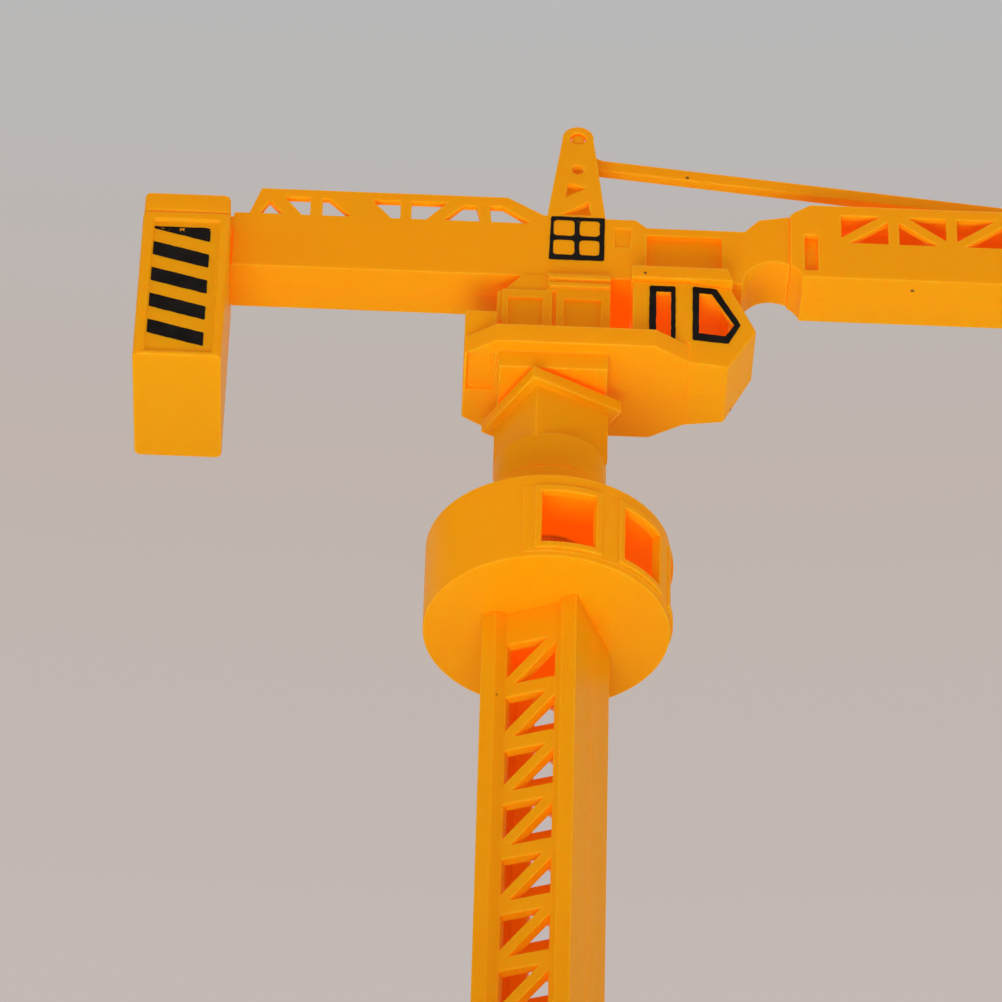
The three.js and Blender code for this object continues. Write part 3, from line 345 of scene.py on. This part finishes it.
def split_at(mesh, edge, places):
    """Adds vertices to an edge, and to the faces on both of its sides, at given distances."""
    start, end = edge.verts
    length = (end.co - start.co).length
    made = {}
    for index, along in sorted(places.items(), key=lambda item: -item[1]):
        edge = mesh.edges.get((start, end))
        fraction = min(max(along / length, END_MARGIN), 1 - END_MARGIN)
        _, end = bmesh.utils.edge_split(edge, start, fraction)
        length *= fraction
        made[index] = end
    return made


def inside_outlines(point, segments):
    """Whether a point is inside an odd number of outlines."""
    crossings = 0
    for (ax, ay), (bx, by) in segments:
        if (ay > point[1]) != (by > point[1]):
            crossings += point[0] < ax + (point[1] - ay) * (bx - ax) / (by - ay)
    return crossings % 2 == 1


def refill(mesh, region):
    """Replaces a flat region with holes in it by clean triangles between its outlines."""
    normal = max(region, key=lambda face: face.calc_area()).normal.copy()
    across = normal.orthogonal().normalized()
    up = normal.cross(across)
    members = set(region)
    outline = [edge for face in region for edge in face.edges
               if sum(other in members for other in edge.link_faces) == 1]
    verts = list(dict.fromkeys(vert for edge in outline for vert in edge.verts))
    place = {vert: index for index, vert in enumerate(verts)}
    flat = [Vector((vert.co.dot(across), vert.co.dot(up))) / MM for vert in verts]
    pairs = [(place[edge.verts[0]], place[edge.verts[1]]) for edge in outline]
    points, triangles, sources, added = triangles_inside(flat, pairs)
    on_edges = {}
    for number, indices in added.items():
        first = flat[pairs[number][0]]
        along = {index: (points[index] - first).length * MM for index in indices}
        on_edges.update(split_at(mesh, outline[number], along))
    bmesh.ops.delete(mesh, geom=region, context="FACES_KEEP_BOUNDARY")
    corners = [verts[source[0]] if source else on_edges[index]
               for index, source in enumerate(sources)]
    for triangle in triangles:
        loop = [corners[i] for i in triangle]
        face = mesh.faces.new(loop) if len(set(loop)) == 3 else None
        if face:
            face.normal_update()
            if face.normal.dot(normal) < 0:
                face.normal_flip()


def flat_regions(mesh, bevelled):
    """Groups of neighbouring coplanar faces that are not part of a rounded edge."""
    left = {face: True for face in mesh.faces if face not in bevelled}  # a dict keeps its order
    regions = []
    while left:
        first, _ = left.popitem()
        region, reached = [first], [first]
        while reached:
            face = reached.pop()
            for edge in face.edges:
                for other in edge.link_faces:
                    turn = other.normal.angle(face.normal, math.inf) if other in left else math.inf
                    if turn < SAME_PLANE_ANGLE:
                        del left[other]
                        region.append(other)
                        reached.append(other)
        regions.append(region)
    return regions


def close_gap(mesh, normal, offset, target):
    """Moves one flat face along its normal until it meets the piece beside it."""
    normal = Vector(normal)
    for vert in mesh.verts:
        if abs(vert.co.dot(normal) - offset) < FACE_REACH:
            vert.co += normal * (target - offset)


def link_piece(name, mesh, material):
    """Turns an edit mesh into a linked object with one material, and frees the edit mesh."""
    data = bpy.data.meshes.new(name)
    mesh.to_mesh(data)
    mesh.free()
    data.materials.append(material)
    piece = bpy.data.objects.new(name, data)
    bpy.context.scene.collection.objects.link(piece)
    return piece


def moulded(name, nodes, body, material, width, seams=(), gaps=(), limit=31):
    """A plastic piece from CAD nodes. Edges turning over limit degrees get a width mm bevel."""
    mesh = solid_of(nodes)
    for normal, offset, target in gaps:
        level = FLOOR_OF_CABIN if normal == UP else 0
        close_gap(mesh, normal, level + offset * MM, level + target * MM)
    plain = set()
    for seam in seams:
        plain |= close_seam(mesh, *seam)
    mesh.normal_update()
    sharp = [edge for edge in mesh.edges if edge.is_manifold and edge not in plain
             and edge.calc_face_angle() > math.radians(limit)]
    bevel = bmesh.ops.bevel(mesh, geom=sharp, offset=width * MM, offset_type="OFFSET",
                            segments=BEVEL_STEPS, profile=0.5, affect="EDGES",
                            clamp_overlap=False)
    for region in flat_regions(mesh, set(bevel["faces"])):
        if len(region) > 1 or len(region[0].verts) > 4:
            refill(mesh, region)
    bmesh.ops.remove_doubles(mesh, verts=mesh.verts, dist=LAST_WELD)
    mesh.normal_update()
    for edge in mesh.edges:
        edge.smooth = edge.is_manifold and edge.calc_face_angle() < SMOOTH_ANGLE
    piece = link_piece(name, mesh, material)
    polygons = piece.data.polygons
    polygons.foreach_set("use_smooth", [True] * len(polygons))
    normals = piece.modifiers.new("normals", "WEIGHTED_NORMAL")
    normals.weight = NORMAL_WEIGHT
    normals.keep_sharp = True
    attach(piece, body)
    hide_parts(*nodes)


BATCH_SHADES = (0.0, -0.02, 0.02)  # how far each moulding batch's colour is from the main one
# The round cabin looks further for enclosing walls, so its hollow inside gets more painted glow.
CABIN_REACH = 0.045
UNDER_JIB = (UP, 89.5, 89.78)  # the gap below the jib's underside, closed from below


def moulded_pieces():
    orange = [plastic(f"orange_plastic_{i}", shade=shade) for i, shade in enumerate(BATCH_SHADES)]
    moulded("base", ["base_plate"], "tower", orange[0], 0.6)
    moulded("mast", ["mast_front_half", "mast_rear_half"], "tower", orange[1], 0.22,
            seams=[(ACROSS_MAST, 0, SEAM_HALF_GAP)], gaps=[(UP, -0.3, 0.1)])
    # The cabin and its roof share a material with a wider painted glow.
    cabin_plastic_painted_glow = plastic("orange_plastic_round_cabin", reach=CABIN_REACH)
    moulded("round_cabin", ["cabin_shell"], "tower", cabin_plastic_painted_glow, 0.16)
    moulded("round_cabin_roof", ["cabin_roof"], "tower", cabin_plastic_painted_glow, 0.3)
    moulded("turret", ["turret_column"], "turret", orange[0], 0.3)
    moulded("platform_and_cab", ["platform_front_half", "platform_rear_half", "cab_front_half",
                                 "cab_rear_half"], "superstructure", orange[2], 0.3,
            seams=[PARTING, (ALONG, 28.05, SEAM_HALF_GAP)],
            gaps=[(UP, 86.1, 86.38), UNDER_JIB, (ALONG, -12.3, -12.02)])
    moulded("engine_house", ["engine_housing"], "superstructure", orange[0], 0.18,
            gaps=[(UP, 69.6, 69.32), UNDER_JIB])
    moulded("driver_roof", ["cab_roof"], "superstructure", orange[1], 0.3, gaps=[UNDER_JIB])
    moulded("jib", ["jib_front_half", "jib_rear_half"], "superstructure", orange[0], 0.2,
            seams=[PARTING], gaps=[(ALONG, 49.45, 49.57)])
    moulded("boom", ["boom_front_half", "boom_rear_half"], "superstructure", orange[2], 0.22,
            seams=[PARTING])
    moulded("tie", ["tie_bar"], "superstructure", orange[1], 0.3)
    moulded("head_pin", ["tie_pin_head"], "superstructure", orange[1], 0.25, limit=50)
    moulded("weight_box", ["counterweight_shell"], "superstructure", orange[0], 0.4)
    moulded("weight_lid", ["counterweight_lid"], "superstructure", orange[1], 0.6)
    moulded("trolley_plate", ["trolley_slider"], "trolley", orange[2], 0.25)
    moulded("trolley_frame", ["trolley_block"], "trolley", orange[0], 0.2)
    moulded("lifting_hook", ["hook"], "hook", orange[1], 0.35)


# ---- black print on the cab, the jib and the counterweight ----
PRINT_DEPTH = 0.14
PRINT_SUNK = 0.06
CORNER_STEPS = 4
EDGE_STEP = 1.1
EDGE_WOBBLE = 0.05


def rounded(corners, radius):
    """The same outline with each corner turned into a short curve."""
    points = []
    for index, corner in enumerate(corners):
        here = Vector(corner)
        before = Vector(corners[index - 1])
        after = Vector(corners[(index + 1) % len(corners)])
        start = here + (before - here).normalized() * radius
        end = here + (after - here).normalized() * radius
        for step in range(CORNER_STEPS + 1):
            t = step / CORNER_STEPS
            points.append(start * (1 - t) ** 2 + here * 2 * t * (1 - t) + end * t * t)
    return points


def hand_printed(points, draw):
    """Splits long edges and moves every point a little, as a soft printing pad does."""
    result = []
    for index, point in enumerate(points):
        following = points[(index + 1) % len(points)]
        parts = max(1, round((following - point).length / EDGE_STEP))
        for part in range(parts):
            wobble = Vector((draw.uniform(-1, 1), draw.uniform(-1, 1))) * EDGE_WOBBLE
            result.append(point.lerp(following, part / parts) + wobble)
    return result


def printed(name, loops, surface, side, material):
    """A thin raised film between an outline and its openings, on the front (-1) or rear (1).

    Surface gives how far out the wall under the film is, at an X."""
    draw = random.Random(f"{SEED} {name}")
    loops = [hand_printed(loop, draw) for loop in loops]
    flat = [point for loop in loops for point in loop]
    pairs = []
    for loop in loops:
        start = len(pairs)
        pairs += [(start + i, start + (i + 1) % len(loop)) for i in range(len(loop))]
    points, triangles = triangles_inside(flat, pairs)[:2]
    mesh = bmesh.new()
    layers = []
    for depth in (-PRINT_SUNK, PRINT_DEPTH - PRINT_SUNK):
        layers.append([mesh.verts.new(at(x, side * (surface(x) + depth), z)) for x, z in points])
    for corners in triangles:
        for layer in layers:
            mesh.faces.new([layer[i] for i in corners])
    partner = dict(zip(*layers))
    borders = [edge for edge in mesh.edges
               if len(edge.link_faces) == 1 and edge.verts[0] in partner]
    for edge in borders:
        first, second = edge.verts
        mesh.faces.new([first, second, partner[second], partner[first]])
    bmesh.ops.recalc_face_normals(mesh, faces=mesh.faces)
    piece = link_piece(name, mesh, material)
    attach(piece, "superstructure")


def rectangle(x0, x1, z0, z1):
    return [(x0, z0), (x1, z0), (x1, z1), (x0, z1)]


CAB_SIDE = 10.3
NOSE_START = 27.9
NOSE_TAPER = 0.1714
JIB_SIDE = 6.7
WEIGHT_SIDE = 15.7
OUTER_CORNER = 0.5
INNER_CORNER = 0.15
PANE_CORNER = 0.9
STRIPE_CORNER = 0.3

DOOR_OUTLINE = rectangle(19.75, 25.25, 69.5, 85.1)
DOOR_OPENING = rectangle(21.2, 24.3, 70.5, 83.6)
NOSE_OUTLINE = [(28.8, 70.7), (36.4, 71.1), (39.0, 76.8), (33.8, 85.7), (28.8, 85.4)]
NOSE_OPENING = [(30.2, 72.8), (35.7, 73.0), (37.6, 76.5), (32.9, 84.1), (30.2, 83.9)]
JIB_WINDOW_OUTLINE = [(-1.45, 94.6), (10.3, 94.6), (10.35, 106.65), (-1.1, 106.75)]
PANE_COLUMNS = ((-0.5, 3.95), (5.0, 9.25))
PANE_ROWS = ((96.0, 100.2), (101.35, 105.7))

STRIPE_COUNT = 5
STRIPE_PITCH = 7.15
STRIPE_HEIGHT = 3.6
STRIPE_SLANT = 3.3
STRIPE_ENDS = (-84.3, -72.4)
FIRST_STRIPE_TOP = 94.65
TOP_STRIPE = [(-84.3, 91.05), (-72.4, 87.75), (-72.4, 91.35), (-73.4, 91.6), (-84.3, 91.6)]
TOP_STRIPE_WEAR = 0.12


def nose_wall(x):
    """How far out the cab's side wall is: it narrows towards the nose."""
    return CAB_SIDE - max(0, x - NOSE_START) * NOSE_TAPER


def stripe(index):
    """A slanted band on the counterweight. The top one is cut off by the box's rim."""
    if index == 0:
        return TOP_STRIPE
    left, right = STRIPE_ENDS
    left_top = FIRST_STRIPE_TOP - STRIPE_PITCH * index
    right_top = left_top - STRIPE_SLANT
    return [(left, left_top - STRIPE_HEIGHT), (right, right_top - STRIPE_HEIGHT),
            (right, right_top), (left, left_top)]


def prints():
    fresh = printed_black("black_print", 0.0)
    rubbed = printed_black("black_print_rubbed", TOP_STRIPE_WEAR)
    for side, label in ((-1, "front"), (1, "rear")):
        door = [rounded(DOOR_OUTLINE, OUTER_CORNER), rounded(DOOR_OPENING, INNER_CORNER)]
        printed(f"door_frame_{label}", door, lambda x: CAB_SIDE, side, fresh)
        nose = [rounded(NOSE_OUTLINE, OUTER_CORNER), rounded(NOSE_OPENING, INNER_CORNER)]
        printed(f"nose_window_frame_{label}", nose, nose_wall, side, fresh)
        window = [rounded(JIB_WINDOW_OUTLINE, OUTER_CORNER)]
        for columns in PANE_COLUMNS:
            window += [rounded(rectangle(*columns, *rows), PANE_CORNER) for rows in PANE_ROWS]
        printed(f"jib_window_{label}", window, lambda x: JIB_SIDE, side, fresh)
        for index in range(STRIPE_COUNT):
            printed(f"weight_stripe_{index + 1}_{label}", [rounded(stripe(index), STRIPE_CORNER)],
                    lambda x: WEIGHT_SIDE, side, fresh if index else rubbed)


def steel_nodes():
    steel = plated_steel("plated_steel")
    for entry in frame["record"]["subparts"]:
        if entry["material_slot"] == "steel":
            piece = frame["nodes"][entry["node"]]
            piece.data.materials.clear()
            piece.data.materials.append(steel)


# ---- stage, light and camera ----
FLOOR_HALF_WIDTH = 0.7
FLOOR_FRONT = -0.085  # the camera looks up from below the floor's plane, so the floor ends here
FLOOR_BACK = 0.8
PAPER = (0.60, 0.585, 0.58)
PAPER_PALE = (0.64, 0.625, 0.62)
WARM_WHITE = (1.0, 0.90, 0.86)
LIGHTS = (  # name, place, size, watts, colour
    ("front_low", (-0.10, -0.50, -0.68), 0.55, 7.8, (0.80, 1.0, 0.85)),
    ("left", (-0.95, -0.3, 0.25), 0.7, 1.3, WARM_WHITE),
    ("right", (0.95, -0.3, 0.2), 0.7, 1.5, WARM_WHITE),
    ("overhead", (0.1, 0.0, 1.2), 0.8, 3.0, WARM_WHITE),
    ("back", (0.1, 1.0, 0.45), 0.8, 2.5, WARM_WHITE),
)
# Backdrop colours up the view: warm low down, and warm and a little darker across the middle where
# the crane stands, a painted orange bounce and shade.
BACKDROP_LOW = (0.545, 0.485, 0.462, 1)
BACKDROP_PAINTED_BOUNCE = (0.527, 0.456, 0.420, 1)
BACKDROP_HIGH = (0.485, 0.485, 0.485, 1)
BACKDROP_SPAN = (0.565, 0.693)  # how far up the view direction points, from low to high
BACKDROP_PAINTED_BOUNCE_AT = 0.55


def studio_floor():
    mesh = bpy.data.meshes.new("studio_floor")
    corners = [(-FLOOR_HALF_WIDTH, FLOOR_FRONT, 0), (FLOOR_HALF_WIDTH, FLOOR_FRONT, 0),
               (FLOOR_HALF_WIDTH, FLOOR_BACK, 0), (-FLOOR_HALF_WIDTH, FLOOR_BACK, 0)]
    mesh.from_pydata(corners, [], [(0, 1, 2, 3)])
    floor = bpy.data.objects.new("studio_floor", mesh)
    bpy.context.scene.collection.objects.link(floor)
    material, tree, shader, coordinates = new_material("floor_paper")
    tone = remap(tree, noise(tree, coordinates, 9, 2.0), 0.3, 0.7, 0, 1)
    tree.links.new(mixed(tree, tone, PAPER, PAPER_PALE), shader.inputs["Base Color"])
    shader.inputs["Roughness"].default_value = 0.8
    mesh.materials.append(material)


def area_light(name, place, target, size, watts, colour):
    light = bpy.data.lights.new(name, "AREA")
    light.shape = "DISK"
    light.size = size
    light.energy = watts
    light.color = colour
    lamp = bpy.data.objects.new(name, light)
    bpy.context.scene.collection.objects.link(lamp)
    lamp.visible_camera = False
    lamp.location = place
    lamp.rotation_euler = (Vector(target) - Vector(place)).to_track_quat("-Z", "Y").to_euler()


def studio_light():
    """Soft lights all round, the strongest from in front and below, and a pale backdrop painted
    warm and a little darker across the middle of the view, a painted orange bounce and shade from
    the crane.
    """
    middle = at(0, 0, 40)
    for name, place, size, watts, colour in LIGHTS:
        area_light(name, place, middle, size, watts, colour)
    world = bpy.context.scene.world or bpy.data.worlds.new("studio")
    bpy.context.scene.world = world
    world.use_nodes = True
    tree = world.node_tree
    background = tree.nodes["Background"]
    height = node(tree, "ShaderNodeSeparateXYZ")
    tree.links.new(node(tree, "ShaderNodeTexCoord").outputs["Generated"], height.inputs["Vector"])
    rise = remap(tree, height.outputs["Z"], *BACKDROP_SPAN, 0, 1)
    shades = node(tree, "ShaderNodeValToRGB")
    shades.color_ramp.elements[0].color = BACKDROP_LOW
    shades.color_ramp.elements[1].color = BACKDROP_HIGH
    shades.color_ramp.elements.new(BACKDROP_PAINTED_BOUNCE_AT).color = BACKDROP_PAINTED_BOUNCE
    tree.links.new(rise, shades.inputs["Fac"])
    tree.links.new(shades.outputs["Color"], background.inputs["Color"])
    background.inputs["Strength"].default_value = 1.0


VIEW_PITCH = math.radians(39.1)
VIEW_YAW = math.radians(0.82)
VIEW_ROLL = 0.029
CAMERA_PLACE = (-23.57, -955.92, -743.06)
FOCAL_RATIO = 6000 / 1002


def photo_camera():
    data = bpy.data.cameras.new("camera")
    data.sensor_width = 36
    data.lens = FOCAL_RATIO * data.sensor_width
    data.clip_start = 0.05
    data.dof.use_dof = False
    camera = bpy.data.objects.new("camera", data)
    bpy.context.scene.collection.objects.link(camera)
    forward = Vector((math.sin(VIEW_YAW) * math.cos(VIEW_PITCH),
                      math.cos(VIEW_YAW) * math.cos(VIEW_PITCH), math.sin(VIEW_PITCH)))
    right = Vector((math.cos(VIEW_YAW), -math.sin(VIEW_YAW), 0))
    up = right.cross(forward)
    image_right = right * math.cos(VIEW_ROLL) + up * math.sin(VIEW_ROLL)
    image_up = up * math.cos(VIEW_ROLL) - right * math.sin(VIEW_ROLL)
    axes = Matrix((image_right, image_up, -forward)).transposed().to_4x4()
    camera.matrix_world = Matrix.Translation(at(*CAMERA_PLACE)) @ axes
    bpy.context.scene.camera = camera


moulded_pieces()
prints()
steel_nodes()
studio_floor()
studio_light()
photo_camera()
bpy.context.scene.view_settings.view_transform = "Standard"
